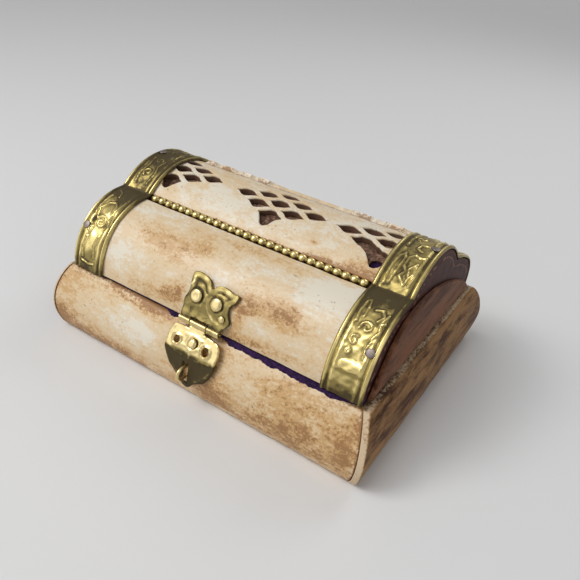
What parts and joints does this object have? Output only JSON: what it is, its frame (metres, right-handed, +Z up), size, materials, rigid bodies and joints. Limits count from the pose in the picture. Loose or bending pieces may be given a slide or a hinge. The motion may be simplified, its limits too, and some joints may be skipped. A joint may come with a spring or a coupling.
{
  "type": "jewelry chest",
  "caption": "Small bone-clad wooden chest with a hinged three-lobed lid, pierced fretwork, beaded wires, embossed brass straps and a slotted hasp over a staple.",
  "frame": {"origin": "centre of the case's underside, where it rests", "axes": "+X along the length towards the right end seen from the front, +Y from the hasp at the front to the hinges at the back, +Z up"},
  "size_m": [0.1268, 0.1043, 0.0568],
  "materials": {
    "bone": "polished camel bone, ivory coloured, with honey-brown staining and fine dark pits",
    "stained_bone": "bone with a mottled dark brown stain and worn light edges",
    "wood": "plain brown hardwood",
    "stained_wood": "dark red-brown stained wood",
    "backing": "dark brown mottled sheet",
    "velvet": "purple velvet",
    "strap_brass": "embossed sheet brass, aged",
    "hasp_brass": "stamped sheet brass, aged",
    "bead_brass": "beaded brass wire",
    "hinge_brass": "plain sheet brass",
    "steel": "grey steel nails"
  },
  "bodies": {
    "root": {"bottom_board": "wood", "front_wall": "wood", "rear_wall": "wood", "left_wall": "wood", "right_wall": "wood", "front_bone": "bone", "rear_bone": "bone", "left_bone": "stained_bone", "right_bone": "stained_bone", "floor_velvet": "velvet", "front_velvet": "velvet", "rear_velvet": "velvet", "left_velvet": "velvet", "right_velvet": "velvet", "hasp_staple": "hasp_brass", "left_hinge_case_leaf": "hinge_brass", "right_hinge_case_leaf": "hinge_brass", "left_hinge_pin": "hinge_brass", "right_hinge_pin": "hinge_brass", "case_hinge_nail_1": "hinge_brass", "case_hinge_nail_2": "hinge_brass", "case_hinge_nail_3": "hinge_brass", "case_hinge_nail_4": "hinge_brass"},
    "lid": {"dome_front_bone": "bone", "dome_rear_bone": "bone", "fret_backing": "backing", "front_bead_row": "bead_brass", "hasp_left_nail": "hasp_brass", "hasp_pin": "hasp_brass", "hasp_plate": "hasp_brass", "hasp_right_nail": "hasp_brass", "hasp_tack": "hasp_brass", "left_hinge_lid_leaf": "hinge_brass", "left_strap": "strap_brass", "left_strap_front_nail": "steel", "left_strap_rear_nail": "steel", "left_strap_top_nail": "steel", "lid_front_board": "wood", "lid_front_bone": "bone", "lid_hinge_nail_1": "hinge_brass", "lid_hinge_nail_2": "hinge_brass", "lid_hinge_nail_3": "hinge_brass", "lid_hinge_nail_4": "hinge_brass", "lid_left_end": "stained_wood", "lid_left_end_bone": "stained_bone", "lid_left_velvet": "velvet", "lid_rear_board": "wood", "lid_rear_bone": "bone", "lid_right_end": "stained_wood", "lid_right_end_bone": "stained_bone", "lid_right_velvet": "velvet", "lid_velvet": "velvet", "rear_bead_row": "bead_brass", "right_hinge_lid_leaf": "hinge_brass", "right_strap": "strap_brass", "right_strap_front_nail": "steel", "right_strap_rear_nail": "steel", "right_strap_top_nail": "steel"},
    "hasp": {"hasp_leaf": "hasp_brass", "hasp_rivet": "hasp_brass"}
  },
  "joints": [
    {"name": "lid", "type": "hinge", "parent": "root", "child": "lid", "pos_m": [0, 0.0443, 0.026], "axis": [-1, 0, 0], "range_deg": [0, 105]},
    {"name": "hasp", "type": "hinge", "parent": "lid", "child": "hasp", "pos_m": [0, -0.0438, 0.0267], "axis": [-1, 0, 0], "range_deg": [0, 135]}
  ]
}
